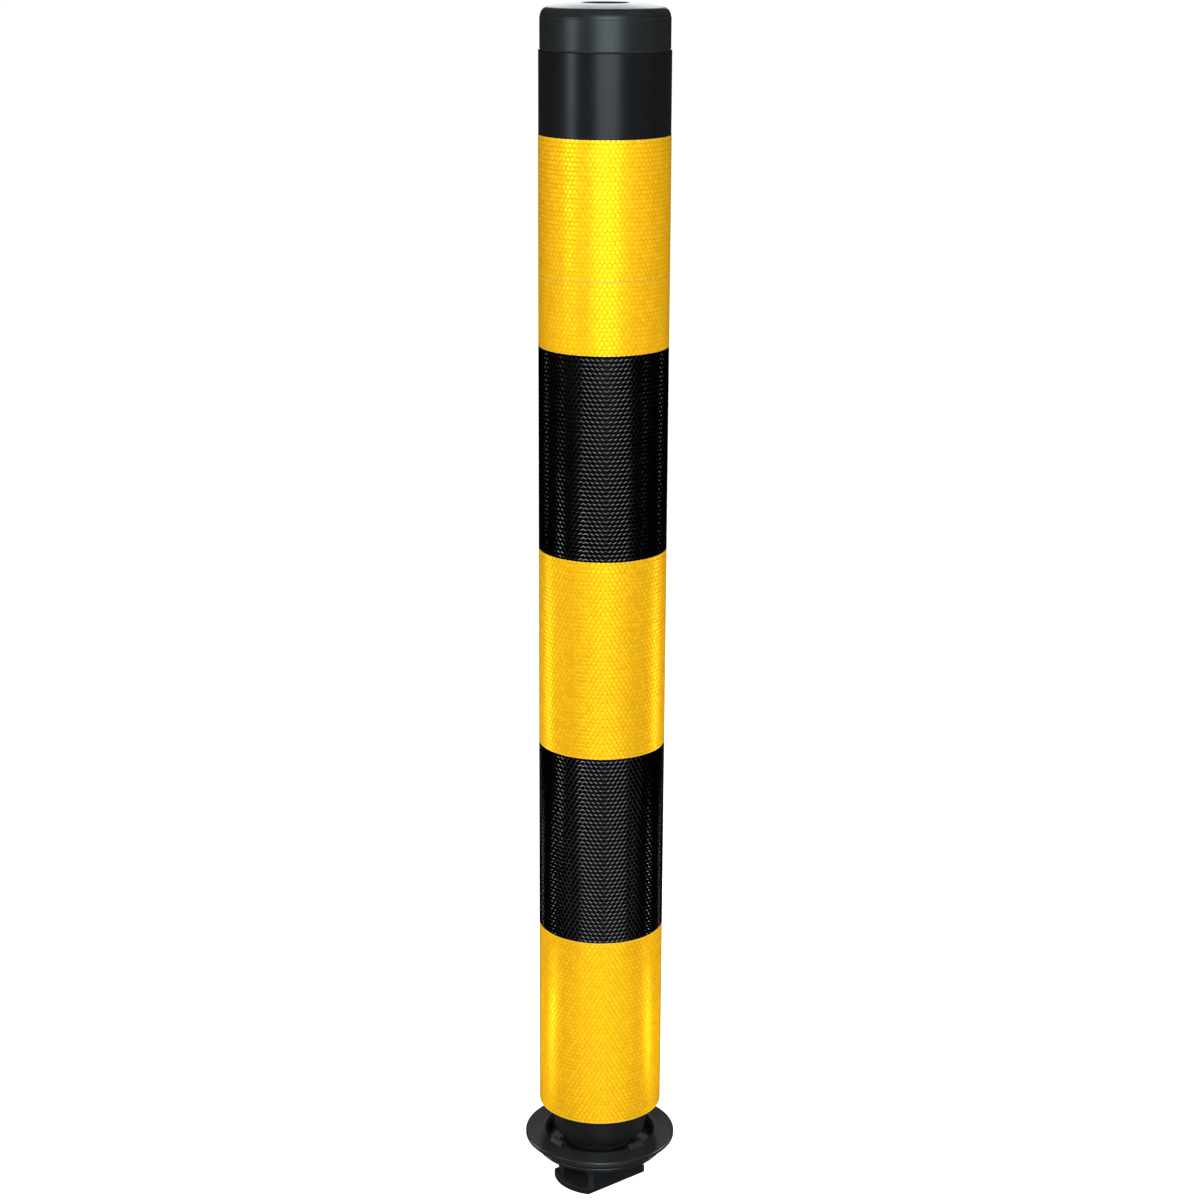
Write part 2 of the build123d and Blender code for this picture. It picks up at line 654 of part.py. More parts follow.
with BuildPart() as post_tube:
    with BuildSketch(Plane.XY.offset(TUBE_LOW)):
        Circle(TUBE_R)
        Circle(TUBE_IN, mode=Mode.SUBTRACT)
    extrude(amount=TUBE_TOP - TUBE_LOW)
    chamfer(post_tube.edges().group_by(Axis.Z)[-1], TUBE_EDGE)
    chamfer(post_tube.edges().group_by(Axis.Z)[0], TUBE_EDGE)
    with BuildSketch(Plane.XZ):
        with Locations((0, RIVET_Z)):
            Circle(RIVET_R + PRESSED)
    extrude(amount=TUBE_R + 1, both=True, mode=Mode.SUBTRACT)
    with BuildSketch(Plane.YZ):
        with Locations((0, RIVET_Z)):
            Circle(RIVET_R + PRESSED)
    extrude(amount=TUBE_R + 1, both=True, mode=Mode.SUBTRACT)
save(post_tube, "post_tube")

# --- reflective sheet: five colour bands in three lengths, spliced with a lap -----------------------
edge_1 = TUBE_LOW + BAND
edge_2 = edge_1 + BAND - LAP
edge_3 = edge_2 + BAND
edge_4 = edge_3 + BAND
edge_5 = edge_4 + BAND
STRIPS = {
    "wrap_yellow_low": (TUBE_LOW + 0.2, edge_1),
    "wrap_black_low": (edge_1, SPLICE_LOW),
    "wrap_black_join": (SPLICE_LOW, edge_2),
    "wrap_yellow_mid": (edge_2, edge_3),
    "wrap_black_high": (edge_3, edge_4),
    "wrap_yellow_join": (edge_4, SPLICE_HIGH),
    "wrap_yellow_top": (SPLICE_HIGH, edge_5),
}
for name, (low, high) in STRIPS.items():
    save(turned_ring(TUBE_R + SHEET, TUBE_R, low, high), name)

# --- rod guides -----------------------------------------------------------------------------------
GUIDE_THICK = 12.0
GUIDE_HUB_R = 12.0
GUIDE_RIM = 3.5
GUIDE_ARM = 8.0
GUIDE_HEIGHTS = {"rod_guide_low": 430.0, "rod_guide_high": 690.0}

for name, low in GUIDE_HEIGHTS.items():
    with BuildPart() as guide:
        with BuildSketch(Plane.XY.offset(low)):
            Circle(PLUG_R)
            Circle(PLUG_R - GUIDE_RIM, mode=Mode.SUBTRACT)
            with PolarLocations(PLUG_R / 2, 3, start_angle=90):
                Rectangle(PLUG_R - GUIDE_RIM, GUIDE_ARM)
            Circle(GUIDE_HUB_R)
            Circle(ROD_R + RUNNING, mode=Mode.SUBTRACT)
        extrude(amount=GUIDE_THICK)
    save(guide, name)

# --- cap ------------------------------------------------------------------------------------------
CAP_PLUG_LOW = 868.0
CAP_WALL = 3.6
CUP_R = RECESS_R + 3.5
CUP_UNDER = 905.0
SHOULDER_R = 7.5
SHOULDER_END = 80.0
O_RING_HEIGHTS = (874.0, 882.0)
O_RING_R = 1.2
O_RING_CUT = 2.4
CAP_PLUG_WALL = 3.6
CAP_EDGE = 0.3
CAP_STEP = 0.4
RECESS_LIP = 1.2
BUSH_HEAD_R = 12.0
shoulder_centre = (CAP_R - CAP_EDGE - SHOULDER_R, CAP_SHOULDER + CAP_STEP)
shoulder_mid = (
    shoulder_centre[0] + SHOULDER_R * cos(radians(45)),
    shoulder_centre[1] + SHOULDER_R * sin(radians(45)),
)
shoulder_end = (
    shoulder_centre[0] + SHOULDER_R * cos(radians(SHOULDER_END)),
    shoulder_centre[1] + SHOULDER_R * sin(radians(SHOULDER_END)),
)

with BuildPart() as top_cap:
    with BuildSketch(Plane.XZ):
        with BuildLine():
            skirt = Polyline(
                (PLUG_R - CAP_PLUG_WALL, CAP_PLUG_LOW),
                (PLUG_R - 1.0, CAP_PLUG_LOW),
                (PLUG_R - 0.1, CAP_PLUG_LOW + 1.5),
                (PLUG_R - 0.1, CAP_LOW),
                (CAP_R - CAP_EDGE, CAP_LOW),
                (CAP_R, CAP_LOW + CAP_EDGE),
                (CAP_R, CAP_SHOULDER),
                (CAP_R - CAP_EDGE, CAP_SHOULDER + CAP_STEP),
            )
            shoulder = ThreePointArc(skirt @ 1, shoulder_mid, shoulder_end)
            dome = ThreePointArc(
                shoulder @ 1,
                ((shoulder_end[0] + RECESS_R) / 2 + 1, (shoulder_end[1] + CAP_TOP) / 2 + 0.45),
                (RECESS_R + RECESS_LIP, CAP_TOP),
            )
            Polyline(
                dome @ 1,
                (RECESS_R, CAP_TOP - 1.0),
                (RECESS_R, RECESS_FLOOR),
                (GUIDE_R, RECESS_FLOOR),
                (GUIDE_R, CUP_UNDER),
                (CUP_R, CUP_UNDER),
                (CUP_R, CAP_TOP - CAP_WALL - 0.4),
                (shoulder_centre[0], CAP_TOP - CAP_WALL - 3.0),
                (CAP_R - CAP_WALL, CAP_SHOULDER - 1.0),
                (CAP_R - CAP_WALL, CAP_LOW + 5.0),
                (PLUG_R - CAP_PLUG_WALL, CAP_LOW + 2.0),
                (PLUG_R - CAP_PLUG_WALL, CAP_PLUG_LOW),
            )
        make_face()
    revolve(axis=Axis.Z)
    for height in O_RING_HEIGHTS:
        with BuildSketch(Plane.XY.offset(height - O_RING_R - 0.1)):
            Circle(PLUG_R + 1)
            Circle(PLUG_R - O_RING_CUT, mode=Mode.SUBTRACT)
        extrude(amount=2 * O_RING_R + 0.2, mode=Mode.SUBTRACT)
save(top_cap, "top_cap")

with BuildPart() as cap_o_rings:
    with BuildSketch(Plane.XZ):
        for height in O_RING_HEIGHTS:
            with Locations((PLUG_R - O_RING_R, height)):
                Circle(O_RING_R)
    revolve(axis=Axis.Z)
save(cap_o_rings, "cap_o_rings")

cap_gasket = turned_ring(CAP_R - CAP_EDGE, PLUG_R, TUBE_TOP, CAP_LOW)
save(cap_gasket, "cap_gasket")

with BuildPart() as spindle_bush:
    with BuildSketch(Plane.XY.offset(CUP_UNDER - 1)):
        Circle(GUIDE_R - PRESSED)
        Circle(ROD_R + RUNNING, mode=Mode.SUBTRACT)
    extrude(amount=RECESS_FLOOR - CUP_UNDER + 1)
    with BuildSketch(Plane.XY.offset(RECESS_FLOOR)):
        Circle(BUSH_HEAD_R)
        Circle(ROD_R + RUNNING, mode=Mode.SUBTRACT)
    extrude(amount=BUSH_FACE - RECESS_FLOOR)
save(spindle_bush, "spindle_bush")
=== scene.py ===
"""Looks of a removable street post: a banded tube on a ball seat with a turn-lock foot.

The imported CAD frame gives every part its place. The seven strips of embossed reflective sheet are
built here cell by cell, and every other visible part gets a finish of its own.
"""

import json
import logging
import math
from collections.abc import Iterable
from dataclasses import dataclass
from enum import Enum

import bpy
import numpy as np
from mathutils import Matrix, Vector

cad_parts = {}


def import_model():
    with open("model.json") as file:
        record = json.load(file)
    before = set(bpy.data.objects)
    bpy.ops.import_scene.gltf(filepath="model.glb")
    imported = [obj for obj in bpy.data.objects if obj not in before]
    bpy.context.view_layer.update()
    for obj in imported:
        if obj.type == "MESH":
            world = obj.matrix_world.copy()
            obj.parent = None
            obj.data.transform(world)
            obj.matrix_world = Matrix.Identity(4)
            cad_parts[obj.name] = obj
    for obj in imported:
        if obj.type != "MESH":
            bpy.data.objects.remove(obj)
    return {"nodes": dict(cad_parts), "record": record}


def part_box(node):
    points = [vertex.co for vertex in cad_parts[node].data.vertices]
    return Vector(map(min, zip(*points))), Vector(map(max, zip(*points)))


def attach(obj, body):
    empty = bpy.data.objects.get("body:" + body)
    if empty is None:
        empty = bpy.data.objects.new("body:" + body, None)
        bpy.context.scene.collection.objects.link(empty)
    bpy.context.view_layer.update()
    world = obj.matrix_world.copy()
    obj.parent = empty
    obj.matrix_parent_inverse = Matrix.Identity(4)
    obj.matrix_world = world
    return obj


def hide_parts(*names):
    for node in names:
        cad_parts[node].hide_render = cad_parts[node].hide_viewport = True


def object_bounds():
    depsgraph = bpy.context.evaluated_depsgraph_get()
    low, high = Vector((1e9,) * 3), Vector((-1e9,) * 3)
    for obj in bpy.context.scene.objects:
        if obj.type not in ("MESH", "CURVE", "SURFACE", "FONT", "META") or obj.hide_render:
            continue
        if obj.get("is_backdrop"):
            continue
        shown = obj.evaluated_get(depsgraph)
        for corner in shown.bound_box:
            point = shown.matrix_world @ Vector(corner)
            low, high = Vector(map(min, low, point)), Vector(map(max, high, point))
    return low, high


Colour = tuple[float, float, float]
Tree = bpy.types.NodeTree
Socket = bpy.types.NodeSocket

MM = 0.001
log = logging.getLogger("street_post")

# The Mix node's colour sockets.
MIX_FACTOR, MIX_UNDER, MIX_OVER, MIX_RESULT = 0, 6, 7, 2

# Noise scales of the shared effects, in cells to the metre.
CLOUD_SCALE = 14.0
SHEET_GRAIN_SCALE = 900.0
MOTTLE_SCALE = 38.0
WEAR_SCALE = 240.0
DUST_SCALE = 60.0

# Embossed sheet.
CLOUD_SHARE = 0.6
SHEET_GRAIN_SPAN = (0.3, 0.7)
SHEET_GRAIN_ROUGHNESS = 0.04
SHEET_GRAIN_DEPTH = 0.004 * MM

# Moulded skin.
GRAIN_ROUGHNESS = 0.08
MOTTLE_COLOUR = (0.03, 0.033, 0.034)

# Worn edges: the rounding that finds an edge, and how far the normal has to turn.
BEVEL_SAMPLES = 4
BEVEL_RADIUS = 0.7 * MM
EDGE_SPAN = (0.995, 0.80)
WEAR_SPAN = (0.35, 0.62)
LEAST_WEAR = 0.15

# Dust: how far a face has to look up, and how patchy the film is.
UPWARD_SPAN = (0.2, 1.0)
DUST_SPAN = (0.35, 0.75)
LEAST_DUST = 0.4

# Cells: weld steps to the radian and to the metre, how near a cut counts as on it, and the tone
# of the seams.
ANGLE_STEPS = 1e6
LENGTH_STEPS = 1e8
ON_CUT = 1e-9
MIDDLE_TONE = 0.5


class Slot(Enum):
    """The record's material slots."""

    WRAP_YELLOW = "wrap_yellow"
    WRAP_BLACK = "wrap_black"
    TUBE_BLACK = "tube_black"
    CAP_BLACK = "cap_black"
    COLLAR_BLACK = "collar_black"
    CASTING_BLACK = "casting_black"
    RUBBER_BLACK = "rubber_black"
    ZINC_STEEL = "zinc_steel"
    SPRING_STEEL = "spring_steel"
    BRONZE = "bronze"
    GUIDE_NYLON = "guide_nylon"


# --- shader helpers --------------------------------------------------------------------------------


def rgba(colour: Colour) -> tuple[float, float, float, float]:
    """The colour with full alpha."""
    return (*colour, 1.0)


def new_group(name: str, inputs: dict[str, object], outputs: dict[str, str]) -> Tree:
    """Starts a shader node group with named sockets.

    Args:
        name: The group's name.
        inputs: Each input's name and default; a tuple makes a colour socket, a number a float one.
        outputs: Each output's name and socket type.

    Returns:
        The empty group, with its input and output nodes named "in" and "out".
    """
    tree = bpy.data.node_groups.new(name, "ShaderNodeTree")
    for label, default in inputs.items():
        kind = "NodeSocketColor" if isinstance(default, tuple) else "NodeSocketFloat"
        made = tree.interface.new_socket(label, in_out="INPUT", socket_type=kind)
        made.default_value = rgba(default) if isinstance(default, tuple) else default
    for label, kind in outputs.items():
        tree.interface.new_socket(label, in_out="OUTPUT", socket_type=kind)
    tree.nodes.new("NodeGroupInput").name = "in"
    tree.nodes.new("NodeGroupOutput").name = "out"
    return tree


def feed(tree: Tree, target: Socket, value: object) -> None:
    """Links a socket to the target, or sets the target's own value."""
    if isinstance(value, bpy.types.NodeSocket):
        tree.links.new(value, target)
    elif isinstance(value, tuple):
        target.default_value = rgba(value) if len(target.default_value) == 4 else value
    else:
        target.default_value = value


def maths(tree: Tree, operation: str, *terms: object, clamp: bool = False) -> Socket:
    """A Math node on these terms.

    Args:
        tree: Where the node goes.
        operation: Blender's name of the operation.
        terms: Sockets or numbers, in order.
        clamp: Whether the result is held between 0 and 1.

    Returns:
        The node's result.
    """
    node = tree.nodes.new("ShaderNodeMath")
    node.operation = operation
    node.use_clamp = clamp
    for target, term in zip(node.inputs, terms):
        feed(tree, target, term)
    return node.outputs[0]


def blend_colour(
    tree: Tree, share: object, under: object, over: object, mode: str = "MIX"
) -> Socket:
    """Two colours blended.

    Args:
        tree: Where the node goes.
        share: How much of the blend shows, 0 to 1.
        under: The colour at share 0.
        over: The colour laid over it.
        mode: Blender's name of the blend.

    Returns:
        The blended colour.
    """
    node = tree.nodes.new("ShaderNodeMix")
    node.data_type = "RGBA"
    node.blend_type = mode
    feed(tree, node.inputs[MIX_FACTOR], share)
    feed(tree, node.inputs[MIX_UNDER], under)
    feed(tree, node.inputs[MIX_OVER], over)
    return node.outputs[MIX_RESULT]


def remap(tree: Tree, value: Socket, low: object, high: object, start: object, end: object) -> Socket:
    """The value carried from the range low..high to start..end, held inside it."""
    node = tree.nodes.new("ShaderNodeMapRange")
    for target, term in zip(node.inputs, (value, low, high, start, end)):
        feed(tree, target, term)
    return node.outputs[0]


def noise(tree: Tree, scale: object, detail: float, stretch: Colour = (1.0, 1.0, 1.0)) -> Socket:
    """Noise on Object coordinates.

    Args:
        tree: Where the nodes go.
        scale: Cells to the metre.
        detail: Octaves.
        stretch: How much the coordinates are scaled along x, y and z first.

    Returns:
        The noise's value, 0 to 1.
    """
    place = tree.nodes.new("ShaderNodeTexCoord")
    mapping = tree.nodes.new("ShaderNodeMapping")
    mapping.inputs["Scale"].default_value = stretch
    tree.links.new(place.outputs["Object"], mapping.inputs["Vector"])
    node = tree.nodes.new("ShaderNodeTexNoise")
    tree.links.new(mapping.outputs["Vector"], node.inputs["Vector"])
    feed(tree, node.inputs["Scale"], scale)
    node.inputs["Detail"].default_value = detail
    return node.outputs["Fac"]


def attribute(tree: Tree, name: str) -> Socket:
    """A number stored on the piece's vertices."""
    node = tree.nodes.new("ShaderNodeAttribute")
    node.attribute_name = name
    return node.outputs["Fac"]


@dataclass(frozen=True)
class Effects:
    """The node groups that several finishes share."""

    cells: Tree
    skin: Tree
    wear: Tree
    dust: Tree

    @classmethod
    def build(cls) -> "Effects":
        """Makes all four groups."""
        return cls(cls.sheet_cells(), cls.moulded_skin(), cls.edge_wear(), cls.settled_dust())

    @staticmethod
    def sheet_cells() -> Tree:
        """Embossed sheet: cells of slightly different tone between sealed seams.

        colour = face * (1 + spread * ((tone - 1/2) + CLOUD_SHARE * (cloud noise - 1/2))), going to
        the seam colour as seam goes to 1, and to a painted highlight colour along the cut edges,
        standing in for the light that the film's edge catches.
        """
        tree = new_group(
            "sheet_cells",
            {
                "Face": (0.8, 0.8, 0.8),
                "Seam": (0.4, 0.4, 0.4),
                "Cut": (0.9, 0.9, 0.9),
                "Spread": 0.2,
                "Seam Strength": 0.5,
                "Edge Highlight Strength": 0.5,
                "Face Roughness": 0.4,
                "Seam Roughness": 0.6,
            },
            {
                "Colour": "NodeSocketColor",
                "Roughness": "NodeSocketFloat",
                "Height": "NodeSocketFloat",
            },
        )
        given, out = tree.nodes["in"].outputs, tree.nodes["out"].inputs
        seam = attribute(tree, "seam")
        tone = maths(tree, "SUBTRACT", attribute(tree, "tone"), 0.5)
        cloud = maths(tree, "SUBTRACT", noise(tree, CLOUD_SCALE, 2.0), 0.5)
        shade = maths(tree, "ADD", tone, maths(tree, "MULTIPLY", cloud, CLOUD_SHARE))
        shade = maths(tree, "MULTIPLY_ADD", shade, given["Spread"], 1.0)
        grey = tree.nodes.new("ShaderNodeCombineColor")
        for target in grey.inputs:
            feed(tree, target, shade)
        face = blend_colour(tree, 1.0, given["Face"], grey.outputs[0], mode="MULTIPLY")
        seamed = maths(tree, "MULTIPLY", seam, given["Seam Strength"])
        joined = blend_colour(tree, seamed, face, given["Seam"])
        # Painted highlight: the cut edges are blended toward a light colour that stands in for the
        # film's edge catching the light.
        cut = maths(tree, "MULTIPLY", attribute(tree, "cut"), given["Edge Highlight Strength"])
        feed(tree, out["Colour"], blend_colour(tree, cut, joined, given["Cut"]))
        fine = noise(tree, SHEET_GRAIN_SCALE, 2.0)
        rough = remap(tree, seam, 0.0, 1.0, given["Face Roughness"], given["Seam Roughness"])
        uneven = remap(
            tree, fine, *SHEET_GRAIN_SPAN, -SHEET_GRAIN_ROUGHNESS, SHEET_GRAIN_ROUGHNESS
        )
        feed(tree, out["Roughness"], maths(tree, "ADD", rough, uneven))
        feed(tree, out["Height"], fine)
        return tree

    @staticmethod
    def moulded_skin() -> Tree:
        """A moulded or painted skin: slow mottling over a fine grain.

        roughness = level + mottle * (slow noise - 1/2) + GRAIN_ROUGHNESS * grain noise, and
        height = grain noise. The colour goes to MOTTLE_COLOUR by mottle * slow noise.
        """
        tree = new_group(
            "moulded_skin",
            {"Colour": (0.1, 0.1, 0.1), "Level": 0.5, "Mottle": 0.2, "Grain Scale": 1500.0},
            {
                "Colour": "NodeSocketColor",
                "Roughness": "NodeSocketFloat",
                "Height": "NodeSocketFloat",
            },
        )
        given, out = tree.nodes["in"].outputs, tree.nodes["out"].inputs
        slow = maths(tree, "SUBTRACT", noise(tree, MOTTLE_SCALE, 4.0), 0.5)
        grain = noise(tree, given["Grain Scale"], 3.0)
        rough = maths(tree, "MULTIPLY_ADD", slow, given["Mottle"], given["Level"])
        feed(tree, out["Roughness"], maths(tree, "MULTIPLY_ADD", grain, GRAIN_ROUGHNESS, rough))
        share = maths(tree, "MULTIPLY", maths(tree, "ADD", slow, 0.5), given["Mottle"], clamp=True)
        lifted = blend_colour(tree, share, given["Colour"], MOTTLE_COLOUR)
        feed(tree, out["Colour"], lifted)
        feed(tree, out["Height"], grain)
        return tree

    @staticmethod
    def edge_wear() -> Tree:
        """Edges rubbed paler: where the rounded normal leaves the true one, broken up by noise."""
        tree = new_group(
            "edge_wear",
            {"Colour": (0.1, 0.1, 0.1), "Worn": (0.4, 0.4, 0.4), "Amount": 0.5},
            {"Colour": "NodeSocketColor"},
        )
        given, out = tree.nodes["in"].outputs, tree.nodes["out"].inputs
        rounded = tree.nodes.new("ShaderNodeBevel")
        rounded.samples = BEVEL_SAMPLES
        rounded.inputs["Radius"].default_value = BEVEL_RADIUS
        true = tree.nodes.new("ShaderNodeNewGeometry")
        dot = tree.nodes.new("ShaderNodeVectorMath")
        dot.operation = "DOT_PRODUCT"
        tree.links.new(rounded.outputs[0], dot.inputs[0])
        tree.links.new(true.outputs["Normal"], dot.inputs[1])
        edge = remap(tree, dot.outputs["Value"], *EDGE_SPAN, 0.0, 1.0)
        patchy = remap(tree, noise(tree, WEAR_SCALE, 4.0), *WEAR_SPAN, LEAST_WEAR, 1.0)
        mask = maths(tree, "MULTIPLY", maths(tree, "MULTIPLY", edge, patchy), given["Amount"])
        feed(tree, out["Colour"], blend_colour(tree, mask, given["Colour"], given["Worn"]))
        return tree

    @staticmethod
    def settled_dust() -> Tree:
        """A thin film of dust on what faces up, thicker where slow noise is high."""
        tree = new_group(
            "settled_dust",
            {"Colour": (0.1, 0.1, 0.1), "Dust": (0.35, 0.35, 0.33), "Amount": 0.2},
            {"Colour": "NodeSocketColor"},
        )
        given, out = tree.nodes["in"].outputs, tree.nodes["out"].inputs
        true = tree.nodes.new("ShaderNodeNewGeometry")
        parts = tree.nodes.new("ShaderNodeSeparateXYZ")
        tree.links.new(true.outputs["Normal"], parts.inputs[0])
        up = remap(tree, parts.outputs["Z"], *UPWARD_SPAN, 0.0, 1.0)
        patchy = remap(tree, noise(tree, DUST_SCALE, 5.0), *DUST_SPAN, LEAST_DUST, 1.0)
        mask = maths(tree, "MULTIPLY", maths(tree, "MULTIPLY", up, patchy), given["Amount"])
        feed(tree, out["Colour"], blend_colour(tree, mask, given["Colour"], given["Dust"]))
        return tree


# --- finishes --------------------------------------------------------------------------------------


def start_material(name: str) -> tuple[bpy.types.Material, bpy.types.ShaderNode]:
    """A new node material and its Principled shader."""
    made = bpy.data.materials.new(name)
    made.use_nodes = True
    return made, made.node_tree.nodes["Principled BSDF"]


def place_group(tree: Tree, group: Tree, values: dict[str, object]) -> bpy.types.ShaderNode:
    """Puts a group in a material.

    Args:
        tree: The material's tree.
        group: The group.
        values: What its inputs get, as sockets, numbers or colours.

    Returns:
        The group node.
    """
    node = tree.nodes.new("ShaderNodeGroup")
    node.node_tree = group
    for label, value in values.items():
        feed(tree, node.inputs[label], value)
    return node


def raise_bump(tree: Tree, shader: bpy.types.ShaderNode, height: Socket, depth: float) -> None:
    """Bumps the shader's normal by height, depth metres high."""
    bump = tree.nodes.new("ShaderNodeBump")
    bump.inputs["Strength"].default_value = 1.0
    bump.inputs["Distance"].default_value = depth
    tree.links.new(height, bump.inputs["Height"])
    tree.links.new(bump.outputs[0], shader.inputs["Normal"])


@dataclass(frozen=True)
class SheetFinish:
    """Reflective sheet under a clear face, embossed in cells."""

    name: str
    face: Colour
    seam: Colour
    # The cut colour and its strength paint a highlight along the strip's cut edges, where the film's
    # edge would catch the light.
    cut: Colour
    spread: float
    seam_strength: float
    cut_strength: float
    face_roughness: float
    seam_roughness: float
    metallic: float
    specular: float
    grazing: Colour

    def material(self, effects: Effects) -> bpy.types.Material:
        """Builds the material from the shared groups."""
        made, shader = start_material(self.name)
        tree = made.node_tree
        cells = place_group(
            tree,
            effects.cells,
            {
                "Face": self.face,
                "Seam": self.seam,
                "Cut": self.cut,
                "Spread": self.spread,
                "Seam Strength": self.seam_strength,
                "Edge Highlight Strength": self.cut_strength,
                "Face Roughness": self.face_roughness,
                "Seam Roughness": self.seam_roughness,
            },
        )
        tree.links.new(cells.outputs["Colour"], shader.inputs["Base Color"])
        tree.links.new(cells.outputs["Roughness"], shader.inputs["Roughness"])
        shader.inputs["Metallic"].default_value = self.metallic
        shader.inputs["Specular IOR Level"].default_value = self.specular
        shader.inputs["Specular Tint"].default_value = rgba(self.grazing)
        raise_bump(tree, shader, cells.outputs["Height"], SHEET_GRAIN_DEPTH)
        return made


@dataclass(frozen=True)
class SkinFinish:
    """A moulded, painted or plated surface with grain, mottling, worn edges and dust."""

    name: str
    colour: Colour
    roughness: float
    mottle: float = 0.1
    grain_scale: float = 1500.0
    grain_depth: float = 0.01 * MM
    worn: Colour = (0.2, 0.2, 0.2)
    wear: float = 0.0
    dust: float = 0.0
    metallic: float = 0.0
    specular: float = 0.5
    gloss_tint: Colour = (1.0, 1.0, 1.0)

    def material(self, effects: Effects) -> bpy.types.Material:
        """Builds the material from the shared groups."""
        made, shader = start_material(self.name)
        tree = made.node_tree
        skin = place_group(
            tree,
            effects.skin,
            {
                "Colour": self.colour,
                "Level": self.roughness,
                "Mottle": self.mottle,
                "Grain Scale": self.grain_scale,
            },
        )
        colour = skin.outputs["Colour"]
        if self.wear > 0:
            worn = place_group(
                tree, effects.wear, {"Colour": colour, "Worn": self.worn, "Amount": self.wear}
            )
            colour = worn.outputs["Colour"]
        if self.dust > 0:
            dusty = place_group(tree, effects.dust, {"Colour": colour, "Amount": self.dust})
            colour = dusty.outputs["Colour"]
        tree.links.new(colour, shader.inputs["Base Color"])
        tree.links.new(skin.outputs["Roughness"], shader.inputs["Roughness"])
        shader.inputs["Metallic"].default_value = self.metallic
        shader.inputs["Specular IOR Level"].default_value = self.specular
        shader.inputs["Specular Tint"].default_value = rgba(self.gloss_tint)
        raise_bump(tree, shader, skin.outputs["Height"], self.grain_depth)
        return made


SHEET_FINISHES = {
    Slot.WRAP_YELLOW: SheetFinish(
        name="yellow_reflective_sheet",
        face=(1.0, 0.54, 0.008),
        seam=(0.5, 0.2, 0.018),
        # The cut colour is a painted highlight along the yellow strips' edges.
        cut=(1.0, 0.8, 0.18),
        spread=0.16,
        seam_strength=0.8,
        cut_strength=0.5,
        face_roughness=0.38,
        seam_roughness=0.4,
        metallic=0.6,
        specular=0.1,
        grazing=(0.55, 0.32, 0.03),
    ),
    Slot.WRAP_BLACK: SheetFinish(
        name="black_reflective_sheet",
        face=(0.008, 0.008, 0.0082),
        seam=(0.15, 0.15, 0.156),
        # The cut colour is a painted highlight along the black strips' edges, barely lighter than the
        # face.
        cut=(0.01, 0.01, 0.01),
        spread=0.3,
        seam_strength=0.7,
        cut_strength=0.2,
        face_roughness=0.24,
        seam_roughness=0.12,
        metallic=1.0,
        specular=0.0,
        grazing=(0.0, 0.0, 0.0),
    ),
}

SKIN_FINISHES = {
    Slot.TUBE_BLACK: SkinFinish(
        name="tube_black_paint",
        specular=0.2,
        gloss_tint=(0.78, 0.9, 1.0),
        colour=(0.003, 0.0032, 0.0034),
        roughness=0.27,
        mottle=0.08,
        grain_scale=700.0,
        grain_depth=0.006 * MM,
    ),
    Slot.CAP_BLACK: SkinFinish(
        name="cap_moulded_black",
        specular=0.34,
        gloss_tint=(0.8, 0.92, 1.0),
        colour=(0.006, 0.0068, 0.007),
        roughness=0.33,
        mottle=0.1,
        grain_scale=1800.0,
        grain_depth=0.012 * MM,
        worn=(0.06, 0.065, 0.065),
        wear=0.4,
        dust=0.05,
    ),
    Slot.COLLAR_BLACK: SkinFinish(
        name="collar_moulded_black",
        specular=0.45,
        colour=(0.004, 0.0043, 0.0046),
        roughness=0.36,
        mottle=0.1,
        grain_scale=1500.0,
        grain_depth=0.012 * MM,
        worn=(0.05, 0.05, 0.05),
        wear=0.3,
        dust=0.01,
    ),
    Slot.CASTING_BLACK: SkinFinish(
        name="casting_satin_black",
        specular=0.55,
        gloss_tint=(0.85, 0.94, 1.0),
        colour=(0.004, 0.0044, 0.0048),
        roughness=0.32,
        mottle=0.16,
        grain_scale=900.0,
        grain_depth=0.03 * MM,
        worn=(0.11, 0.115, 0.12),
        wear=0.7,
        dust=0.02,
    ),
    Slot.RUBBER_BLACK: SkinFinish(
        name="gasket_rubber",
        colour=(0.008, 0.008, 0.008),
        roughness=0.7,
        grain_scale=2500.0,
    ),
    Slot.ZINC_STEEL: SkinFinish(
        name="zinc_plated_steel",
        colour=(0.58, 0.59, 0.6),
        roughness=0.34,
        mottle=0.25,
        grain_scale=1100.0,
        grain_depth=0.006 * MM,
        metallic=1.0,
    ),
    Slot.SPRING_STEEL: SkinFinish(
        name="oiled_spring_steel",
        colour=(0.12, 0.12, 0.125),
        roughness=0.36,
        mottle=0.2,
        grain_scale=800.0,
        metallic=0.9,
    ),
    Slot.BRONZE: SkinFinish(
        name="sintered_bronze",
        colour=(0.55, 0.32, 0.13),
        roughness=0.42,
        mottle=0.2,
        grain_scale=2600.0,
        grain_depth=0.015 * MM,
        metallic=1.0,
    ),
    Slot.GUIDE_NYLON: SkinFinish(
        name="guide_nylon",
        colour=(0.5, 0.49, 0.45),
        roughness=0.5,
        grain_scale=900.0,
    ),
}


# --- mesh helpers ----------------------------------------------------------------------------------


